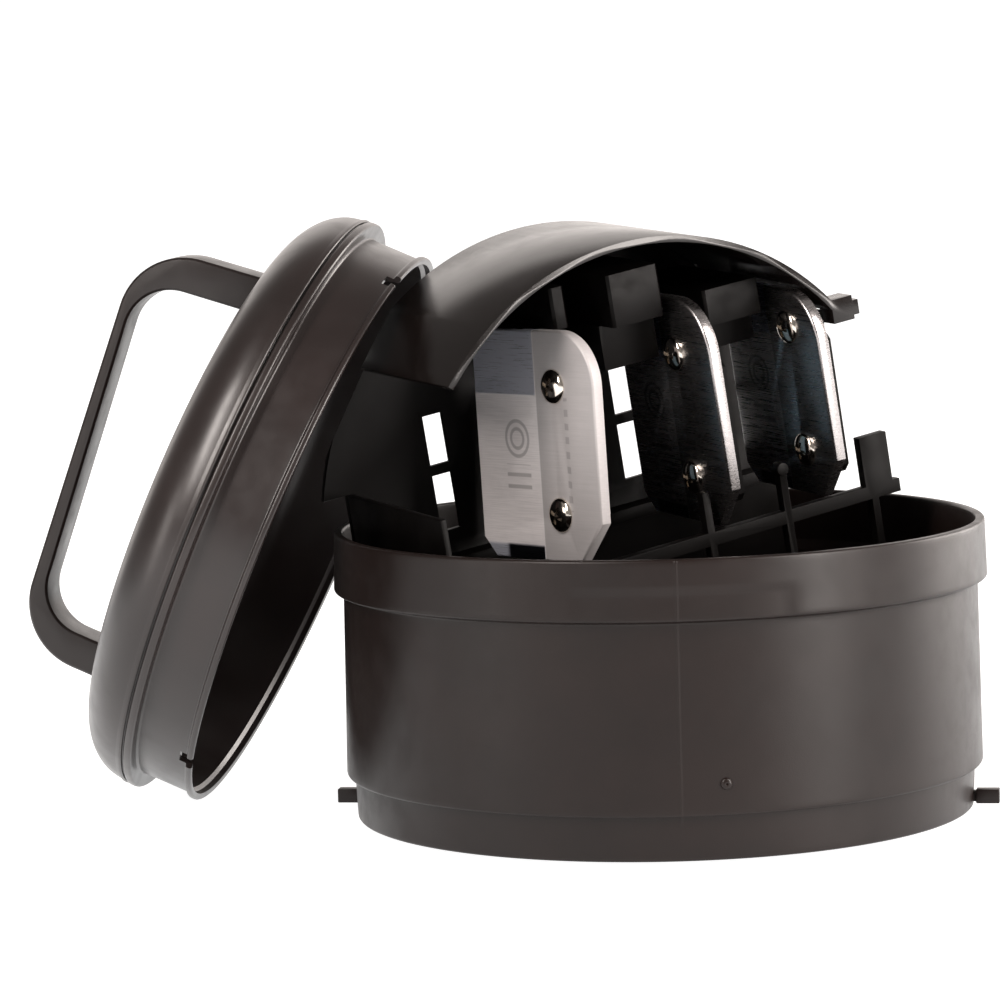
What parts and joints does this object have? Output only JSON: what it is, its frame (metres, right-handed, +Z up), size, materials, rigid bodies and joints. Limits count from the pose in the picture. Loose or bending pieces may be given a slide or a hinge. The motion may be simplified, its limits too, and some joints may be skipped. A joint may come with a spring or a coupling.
{
  "type": "bait station",
  "caption": "Round tub bait station shown open, with its domed lid leaning beside it and a drum-shaped carrier of draw-out bait cassettes standing in the tub.",
  "frame": {"origin": "on the floor under the tub's own vertical axis, at the underside of the tub", "axes": "+Z up along the tub's axis, +X away from the leaning lid along the longest extent, -Y the side the cassettes face"},
  "size_m": [0.3613, 0.2898, 0.22],
  "materials": {
    "tub_plastic": "satin moulded brown-black",
    "lid_plastic": "semi-gloss moulded",
    "handle_plastic": "satin moulded",
    "carrier_plastic": "satin moulded black",
    "hood_plastic": "semi-gloss moulded",
    "block_plastic": "fine moulded texture",
    "tray_plastic": "satin moulded black",
    "plate_metal": "lightly brushed",
    "screw_nickel": "bright nickel plated",
    "screw_steel": "zinc plated",
    "rod_steel": "drawn wire",
    "bait": "pressed wax block"
  },
  "bodies": {
    "tub": {"tub_shell": "tub_plastic", "side_pegs": "tub_plastic"},
    "lid": {"lid_shell": "lid_plastic", "lid_handle": "handle_plastic", "handle_screws": "screw_steel"},
    "carrier": {"carrier_back_plate": "carrier_plastic", "carrier_hood": "hood_plastic", "carrier_trough": "carrier_plastic", "front_grille": "carrier_plastic", "guide_blocks": "block_plastic", "block_screws": "screw_steel"},
    "cassette_1": {"face_plate_1": "plate_metal", "face_screws_1": "screw_nickel", "bait_tray_1": "tray_plastic", "bait_block_1": "bait", "bait_rod_1": "rod_steel"},
    "cassette_2": {"face_plate_2": "plate_metal", "face_screws_2": "screw_nickel", "bait_tray_2": "tray_plastic", "bait_block_2": "bait", "bait_rod_2": "rod_steel"},
    "cassette_3": {"face_plate_3": "plate_metal", "face_screws_3": "screw_nickel", "bait_tray_3": "tray_plastic", "bait_block_3": "bait", "bait_rod_3": "rod_steel"}
  },
  "joints": [
    {"name": "lid_lift", "type": "slide", "parent": "tub", "child": "lid", "axis": [0, 0, 1], "range_m": [0, 0.15]},
    {"name": "carrier_draw", "type": "slide", "parent": "tub", "child": "carrier", "axis": [0.4201, -0.05, 0.9061], "range_m": [0, 0.11]},
    {"name": "cassette_1_draw", "type": "slide", "parent": "carrier", "child": "cassette_1", "axis": [0.6114, -0.7911, 0.0175], "range_m": [0, 0.06]},
    {"name": "cassette_2_draw", "type": "slide", "parent": "carrier", "child": "cassette_2", "axis": [0.469, -0.8821, -0.0436], "range_m": [0, 0.06]},
    {"name": "cassette_3_draw", "type": "slide", "parent": "carrier", "child": "cassette_3", "axis": [0.469, -0.8821, -0.0436], "range_m": [0, 0.06]}
  ]
}
